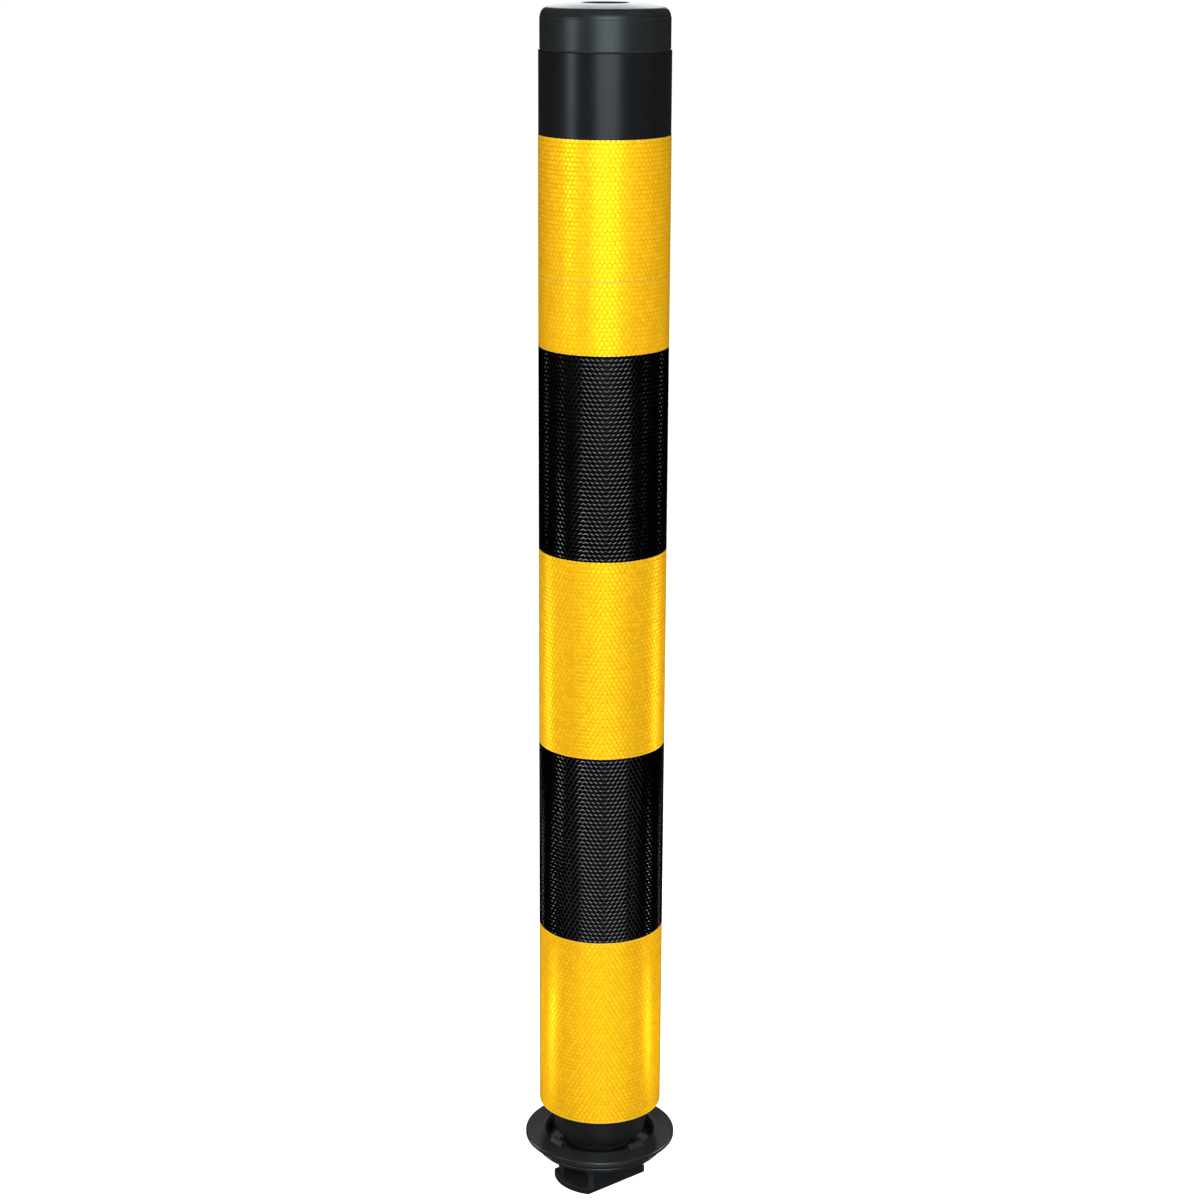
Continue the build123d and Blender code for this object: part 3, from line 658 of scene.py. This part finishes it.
@dataclass
class Piece:
    """Vertices and faces worked out before they become a Blender mesh."""

    name: str
    points: np.ndarray
    faces: list[np.ndarray]
    numbers: dict[str, np.ndarray]

    def build(self, material: bpy.types.Material, crease_deg: float) -> bpy.types.Object:
        """Makes the object, shaded smooth, with creases kept.

        Validation keeps only one face of a coincident pair, which leaves that face's edges open.

        Args:
            material: The piece's finish.
            crease_deg: Faces that meet at more than this angle keep a crease.

        Returns:
            The new object, at the origin.
        """
        mesh = bpy.data.meshes.new(self.name)
        rows = [row for block in self.faces for row in block.tolist()]
        mesh.from_pydata(self.points.tolist(), [], rows)
        for label, values in self.numbers.items():
            held = mesh.attributes.new(label, "FLOAT", "POINT")
            held.data.foreach_set("value", values.astype(np.float32))
        mesh.shade_smooth()
        mesh.set_sharp_from_angle(angle=math.radians(crease_deg))
        mesh.materials.append(material)
        mesh.validate()
        made = bpy.data.objects.new(self.name, mesh)
        bpy.context.scene.collection.objects.link(made)
        return made


@dataclass(frozen=True)
class Studio:
    """Everything a sub-assembly needs from the scene."""

    nodes: dict[str, bpy.types.Object]
    body_of: dict[str, str]
    slot_of: dict[str, Slot]
    materials: dict[Slot, bpy.types.Material]

    def dress(self, names: Iterable[str]) -> None:
        """Gives each of these CAD nodes its slot's finish."""
        for name in names:
            for held in self.nodes[name].material_slots:
                held.material = self.materials[self.slot_of[name]]
            log.info("dressed %s", name)

    def stand_in(self, made: bpy.types.Object, node: str) -> None:
        """Lets a new piece ride with, and stand for, a CAD node."""
        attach(made, self.body_of[node])
        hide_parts(node)
        log.info("built %s for %s", made.name, node)


# --- sub-assemblies --------------------------------------------------------------------------------


@dataclass
class CellShell:
    """A strip's vertices in cylinder coordinates, and the triangles between them."""

    angle: np.ndarray
    height: np.ndarray
    r: np.ndarray
    seam: np.ndarray
    tone: np.ndarray
    faces: np.ndarray

    def weld(self) -> None:
        """Joins vertices that stand on one spot, and drops the triangles that close up.

        Where a row of cells lies wholly past a cut, some of its flattened triangles stay behind as
        coincident pairs of opposite winding.
        """
        key = np.stack(
            [
                np.round(self.angle * ANGLE_STEPS),
                np.round(self.height * LENGTH_STEPS),
                np.round(self.r * LENGTH_STEPS),
            ],
            -1,
        )
        _, chosen, where = np.unique(key, axis=0, return_index=True, return_inverse=True)
        self.angle, self.height, self.r = self.angle[chosen], self.height[chosen], self.r[chosen]
        self.seam, self.tone = self.seam[chosen], self.tone[chosen]
        faces = where.reshape(-1)[self.faces]
        first, second, third = faces.T
        self.faces = faces[(first != second) & (second != third) & (third != first)]

    def edge(self, cut: float) -> np.ndarray:
        """The seam vertices on the cut at this height, in order round the tube."""
        found = np.flatnonzero((np.abs(self.height - cut) < ON_CUT) & (self.seam > 0.5))
        return found[np.argsort(self.angle[found])]

    def close(self, name: str, low: float, high: float, wall_radius: float, count: int) -> Piece:
        """Adds two flat edges and a plain inner wall to the skin.

        With every coincident pair whole or wholly left out, the result is closed.

        Args:
            name: The piece's name.
            low: The strip's lower edge.
            high: The strip's upper edge.
            wall_radius: The inner wall's radius.
            count: Cells round the tube; the wall has two vertices to the cell.

        Returns:
            The strip, with its seam, tone and cut numbers.
        """
        ring = 2 * count
        base = len(self.angle)
        outer_low, outer_high = self.edge(low), self.edge(high)
        inner_low = base + np.arange(ring)
        inner_high = inner_low + ring
        turn = np.arange(ring) * math.pi / count
        angle = np.concatenate([self.angle, turn, turn])
        height = np.concatenate([self.height, np.full(ring, low), np.full(ring, high)])
        r = np.concatenate([self.r, np.full(2 * ring, wall_radius)])
        seam = np.concatenate([self.seam, np.ones(2 * ring)])
        tone = np.concatenate([self.tone, np.full(2 * ring, MIDDLE_TONE)])
        step = np.roll(np.arange(ring), -1)

        def skin(under: np.ndarray, over: np.ndarray) -> np.ndarray:
            """Quads between two rings, the second to the left of the first's direction."""
            return np.stack([under, under[step], over[step], over], -1)

        walls = np.concatenate(
            [skin(inner_low, outer_low), skin(inner_high, inner_low), skin(outer_high, inner_high)]
        )
        points = np.stack([r * np.cos(angle), r * np.sin(angle), height], -1)
        at_cut = (np.abs(height - low) < ON_CUT) | (np.abs(height - high) < ON_CUT)
        numbers = {"seam": seam, "tone": tone, "cut": at_cut.astype(float)}
        return Piece(name, points, [self.faces, walls], numbers)


@dataclass
class ReflectiveWrap:
    """The strips of embossed sheet round the tube."""

    strips: tuple[str, ...] = (
        "wrap_yellow_low",
        "wrap_black_low",
        "wrap_black_join",
        "wrap_yellow_mid",
        "wrap_black_high",
        "wrap_yellow_join",
        "wrap_yellow_top",
    )
    cells_round: int = 81
    seam_depth: float = 0.15 * MM
    crown: float = 0.11 * MM
    face_share: float = 0.8
    thickness: float = 0.18 * MM
    gap: float = 0.08 * MM
    phase_span: float = 2.0 * MM
    crease_deg: float = 9.0
    seed: int = 11

    def cells(
        self, low: float, high: float, radius: float, phase: float, tones: np.random.Generator
    ) -> CellShell:
        """One strip's outer skin of pillowed cells, still open inside.

        Cell centres stand at half-pitch h and half-side v, so that angle = h pi / n and
        height = phase + v side / 2, with pitch = 2 pi radius / n and side = pitch / sqrt 3. A cell's
        six corners lie seam_depth under its face, its face is the same hexagon at face_share of the
        size, and its middle rises by crown. Heights are held between low and high, which cuts the
        outer cells off straight.

        Args:
            low: The strip's lower edge.
            high: The strip's upper edge.
            radius: The radius of the cells' faces.
            phase: Where the first row stands.
            tones: Draws each cell's tone.

        Returns:
            The strip's skin, welded.
        """
        count = self.cells_round
        side = 2 * math.pi * radius / count / math.sqrt(3)
        first = math.floor((low - side - phase) / (1.5 * side)) + 1
        last = math.ceil((high + side - phase) / (1.5 * side)) - 1
        row, column = np.meshgrid(np.arange(first, last + 1), np.arange(count), indexing="ij")
        half = (2 * column + row % 2).ravel()
        level = (3 * row).ravel()
        across = np.array([1, 0, -1, -1, 0, 1])
        upward = np.array([1, 2, 1, -1, -2, -1])
        total = len(half)
        tone = tones.random(total)

        corner = np.stack([(half[:, None] + across) % (2 * count), level[:, None] + upward], -1)
        shared, corner_at = np.unique(corner.reshape(-1, 2), axis=0, return_inverse=True)
        corner_at = corner_at.reshape(total, 6)
        rim_h = half[:, None] + self.face_share * across
        rim_v = level[:, None] + self.face_share * upward
        h = np.concatenate([shared[:, 0], rim_h.ravel(), half])
        v = np.concatenate([shared[:, 1], rim_v.ravel(), level])
        r = np.concatenate(
            [
                np.full(len(shared), radius - self.seam_depth),
                np.full(6 * total, radius),
                np.full(total, radius + self.crown),
            ]
        )
        rim_at = len(shared) + np.arange(6 * total).reshape(total, 6)
        middle_at = len(shared) + 6 * total + np.arange(total)
        after = np.roll(np.arange(6), -1)
        middle = np.repeat(middle_at[:, None], 6, 1)
        faces = np.concatenate(
            [
                np.stack([corner_at, corner_at[:, after], rim_at[:, after]], -1).reshape(-1, 3),
                np.stack([corner_at, rim_at[:, after], rim_at], -1).reshape(-1, 3),
                np.stack([rim_at, rim_at[:, after], middle], -1).reshape(-1, 3),
            ]
        )
        shell = CellShell(
            angle=(h % (2 * count)) * math.pi / count,
            height=np.clip(phase + v * side / 2, low, high),
            r=r,
            seam=np.concatenate([np.ones(len(shared)), np.zeros(7 * total)]),
            tone=np.concatenate([np.full(len(shared), MIDDLE_TONE), np.repeat(tone, 6), tone]),
            faces=faces,
        )
        shell.weld()
        return shell

    def build(self, studio: Studio) -> None:
        """Builds every strip in place of its CAD ring."""
        tones = np.random.default_rng(self.seed)
        for node in self.strips:
            lowest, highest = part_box(node)
            low, high = lowest.z + self.gap, highest.z - self.gap
            radius = highest.x - self.crown
            phase = float(tones.random()) * self.phase_span
            shell = self.cells(low, high, radius, phase, tones)
            name = node.replace("wrap_", "sheet_")
            piece = shell.close(name, low, high, radius - self.thickness, self.cells_round)
            made = piece.build(studio.materials[studio.slot_of[node]], self.crease_deg)
            studio.stand_in(made, node)


@dataclass(frozen=True)
class FlangeBead:
    """The rounded bead that seals the flange's ring in the mouth of its socket."""

    radius: float = 52.9 * MM
    height: float = -7.2 * MM
    round: float = 1.2 * MM
    turns: int = 192
    sides: int = 16
    crease_deg: float = 30.0

    def build(self, studio: Studio) -> None:
        """A torus: r = radius + round cos b, z = height + round sin b, for b round the bead."""
        along = np.arange(self.turns) * 2 * math.pi / self.turns
        about = np.arange(self.sides) * 2 * math.pi / self.sides
        a, b = np.meshgrid(along, about, indexing="ij")
        r = self.radius + self.round * np.cos(b)
        points = np.stack([r * np.cos(a), r * np.sin(a), self.height + self.round * np.sin(b)], -1)
        at = np.arange(self.turns * self.sides).reshape(self.turns, self.sides)
        ahead, above = np.roll(at, -1, 0), np.roll(at, -1, 1)
        faces = np.stack([at, ahead, np.roll(ahead, -1, 1), above], -1).reshape(-1, 4)
        piece = Piece("flange_bead", points.reshape(-1, 3), [faces], {})
        slot = studio.slot_of["ground_flange"]
        made = piece.build(studio.materials[slot], self.crease_deg)
        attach(made, studio.body_of["ground_flange"])
        log.info("built %s", made.name)


# --- studio ----------------------------------------------------------------------------------------


@dataclass(frozen=True)
class StudioCamera:
    """The camera: where it stands round the post's axis, and how it is turned."""

    distance: float = 1.8963
    height: float = 1.0083
    azimuth_deg: float = 5.0
    pitch: float = 0.2790
    yaw: float = -0.0010
    roll: float = 0.0049
    lens_mm: float = 74.85
    sensor_mm: float = 36.0
    nearest: float = 0.05
    farthest: float = 200.0

    def build(self) -> bpy.types.Object:
        """Makes the camera and sets it as the scene's.

        Its axis is forward = (sin yaw cos pitch, cos yaw cos pitch, -sin pitch), turned with its
        place round z by the azimuth, and its up and right are turned by the roll.
        """
        forward = Vector(
            (
                math.sin(self.yaw) * math.cos(self.pitch),
                math.cos(self.yaw) * math.cos(self.pitch),
                -math.sin(self.pitch),
            )
        )
        right = forward.cross(Vector((0, 0, 1))).normalized()
        up = right.cross(forward)
        turned_right = math.cos(self.roll) * right + math.sin(self.roll) * up
        turned_up = math.cos(self.roll) * up - math.sin(self.roll) * right
        basis = Matrix((turned_right, turned_up, -forward)).transposed().to_4x4()
        basis.translation = Vector((0, -self.distance, self.height))
        lens = bpy.data.cameras.new("camera")
        lens.lens = self.lens_mm
        lens.sensor_width = self.sensor_mm
        lens.clip_start = self.nearest
        lens.clip_end = self.farthest
        made = bpy.data.objects.new("camera", lens)
        bpy.context.scene.collection.objects.link(made)
        made.matrix_world = Matrix.Rotation(math.radians(self.azimuth_deg), 4, "Z") @ basis
        bpy.context.scene.camera = made
        return made


@dataclass(frozen=True)
class SoftPanel:
    """A soft light panel that faces the post's axis."""

    name: str
    azimuth_deg: float
    distance: float
    low: float
    high: float
    width: float
    power: float
    colour: Colour
    aim_height: float
    mirrored: bool = True

    def build(self) -> None:
        """Makes the panel. Azimuth 0 is the front of the post and 90 its right."""
        turn = math.radians(self.azimuth_deg)
        middle = (self.low + self.high) / 2
        place = Vector((self.distance * math.sin(turn), -self.distance * math.cos(turn), middle))
        aim = Vector((0, 0, self.aim_height))
        panel = bpy.data.lights.new(self.name, "AREA")
        panel.shape = "RECTANGLE"
        panel.size = self.width
        panel.size_y = self.high - self.low
        panel.energy = self.power
        panel.color = self.colour
        made = bpy.data.objects.new(self.name, panel)
        made.location = place
        made.rotation_mode = "QUATERNION"
        made.rotation_quaternion = (aim - place).to_track_quat("-Z", "Y")
        made.visible_camera = False
        made.visible_glossy = self.mirrored
        bpy.context.scene.collection.objects.link(made)


@dataclass(frozen=True)
class GroundGlow:
    """A soft light lying on the floor in front of the post, as a lit floor would shine up."""

    near: float = 0.12
    far: float = 1.7
    width: float = 0.75
    azimuth_deg: float = 5.0
    power: float = 2.6
    lift: float = 0.004

    def build(self, floor_height: float) -> None:
        """Makes the light, facing up, just above the floor at this height."""
        turn = math.radians(self.azimuth_deg)
        middle = (self.near + self.far) / 2
        glow = bpy.data.lights.new("ground_glow", "AREA")
        glow.shape = "RECTANGLE"
        glow.size = self.width
        glow.size_y = self.far - self.near
        glow.energy = self.power
        made = bpy.data.objects.new("ground_glow", glow)
        made.location = (middle * math.sin(turn), -middle * math.cos(turn), floor_height + self.lift)
        made.rotation_euler = (math.pi, 0.0, turn)
        made.visible_camera = False
        bpy.context.scene.collection.objects.link(made)


@dataclass(frozen=True)
class Surroundings:
    """Pale floor, pale air and the soft panels."""

    panels: tuple[SoftPanel, ...]
    glow: GroundGlow = GroundGlow()
    floor_half: float = 60.0
    floor_colour: Colour = (0.92, 0.92, 0.915)
    floor_roughness: float = 0.9
    floor_glow: float = 0.74
    floor_crease_deg: float = 30.0
    air_seen: float = 1.0
    air_light: float = 0.4
    air_gloss: float = 0.04

    def build(self, floor_height: float) -> None:
        """Makes the floor at this height, the world and the panels."""
        self.floor(floor_height)
        self.air()
        for panel in self.panels:
            panel.build()
        self.glow.build(floor_height)

    def floor(self, height: float) -> None:
        """A plain pale plane."""
        reach = self.floor_half
        corners = np.array([[-1, -1], [1, -1], [1, 1], [-1, 1]], float) * reach
        points = np.column_stack([corners, np.full(4, height)])
        made, shader = start_material("plain_floor")
        shader.inputs["Base Color"].default_value = rgba(self.floor_colour)
        shader.inputs["Roughness"].default_value = self.floor_roughness
        shader.inputs["Emission Color"].default_value = rgba(self.floor_colour)
        shader.inputs["Emission Strength"].default_value = self.floor_glow
        plane = Piece("floor", points, [np.array([[0, 1, 2, 3]])], {})
        floor = plane.build(made, self.floor_crease_deg)
        floor.visible_glossy = False
        floor.visible_diffuse = False
        floor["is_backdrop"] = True

    def air(self) -> None:
        """Pale where the camera sees it, dimmer as a light, and near black in reflections."""
        world = bpy.data.worlds.new("air")
        bpy.context.scene.world = world
        world.use_nodes = True
        tree = world.node_tree
        shader = tree.nodes["Background"]
        path = tree.nodes.new("ShaderNodeLightPath")
        mirrored = path.outputs["Is Glossy Ray"]
        lit = remap(tree, mirrored, 0.0, 1.0, self.air_light, self.air_gloss)
        seen = remap(tree, path.outputs["Is Camera Ray"], 0.0, 1.0, lit, self.air_seen)
        tree.links.new(seen, shader.inputs["Strength"])
        shader.inputs["Color"].default_value = (1.0, 1.0, 1.0, 1.0)
        bpy.context.scene.view_settings.view_transform = "Standard"


COOL_LIGHT = (0.93, 0.97, 1.0)
FILL_LIGHT = (1.0, 0.99, 0.97)
WARM_LIGHT = (1.0, 0.98, 0.94)

PANELS = (
    SoftPanel(
        name="key_panel",
        azimuth_deg=10.0,
        distance=2.6,
        low=0.35,
        high=2.4,
        width=1.9,
        power=88.0,
        colour=COOL_LIGHT,
        aim_height=0.6,
    ),
    SoftPanel(
        name="left_panel",
        azimuth_deg=-54.0,
        distance=1.8,
        low=0.62,
        high=1.15,
        width=0.4,
        power=7.0,
        colour=(1.0, 1.0, 0.98),
        aim_height=0.85,
    ),
    SoftPanel(
        name="left_fill",
        azimuth_deg=-68.0,
        distance=1.0,
        low=0.5,
        high=1.1,
        width=0.5,
        power=6.5,
        colour=FILL_LIGHT,
        aim_height=0.85,
        mirrored=False,
    ),
    SoftPanel(
        name="right_fill",
        azimuth_deg=66.0,
        distance=1.0,
        low=0.5,
        high=1.1,
        width=0.5,
        power=7.0,
        colour=FILL_LIGHT,
        aim_height=0.85,
        mirrored=False,
    ),
    SoftPanel(
        name="left_rim_panel",
        azimuth_deg=-105.0,
        distance=0.8,
        low=-0.02,
        high=0.3,
        width=0.1,
        power=1.2,
        colour=WARM_LIGHT,
        aim_height=0.12,
    ),
    SoftPanel(
        name="right_rim_panel",
        azimuth_deg=116.0,
        distance=0.8,
        low=-0.02,
        high=0.3,
        width=0.1,
        power=1.2,
        colour=WARM_LIGHT,
        aim_height=0.12,
    ),
    SoftPanel(
        name="left_low_strip",
        azimuth_deg=-88.0,
        distance=0.26,
        low=-0.038,
        high=0.05,
        width=0.03,
        power=0.12,
        colour=WARM_LIGHT,
        aim_height=0.04,
    ),
    SoftPanel(
        name="right_low_strip",
        azimuth_deg=98.0,
        distance=0.26,
        low=-0.038,
        high=0.05,
        width=0.03,
        power=0.12,
        colour=WARM_LIGHT,
        aim_height=0.04,
    ),
    SoftPanel(
        name="back_panel",
        azimuth_deg=-175.0,
        distance=1.1,
        low=0.9,
        high=1.5,
        width=0.4,
        power=3.0,
        colour=(0.95, 0.98, 1.0),
        aim_height=0.0,
    ),
)


def read_frame(frame: dict, materials: dict[Slot, bpy.types.Material]) -> Studio:
    """Sorts out the frame's nodes, bodies and slots."""
    record = frame["record"]
    body_of = {
        name: body for body, names in record["behaviour"]["bodies"].items() for name in names
    }
    slot_of = {
        name: Slot(held.material_slots[0].material.name.split(".")[0])
        for name, held in frame["nodes"].items()
    }
    return Studio(frame["nodes"], body_of, slot_of, materials)


def main() -> None:
    """Builds the post, its finishes and the studio."""
    logging.basicConfig(level=logging.INFO, format="%(name)s: %(message)s")
    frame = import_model()
    cad_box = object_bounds()
    effects = Effects.build()
    finishes = {**SHEET_FINISHES, **SKIN_FINISHES}
    materials = {slot: finish.material(effects) for slot, finish in finishes.items()}
    studio = read_frame(frame, materials)
    StudioCamera().build()
    wrap = ReflectiveWrap()
    wrap.build(studio)
    FlangeBead().build(studio)
    studio.dress(sorted(set(studio.nodes) - set(wrap.strips)))
    Surroundings(PANELS).build(cad_box[0].z)


if __name__ == "__main__":
    main()
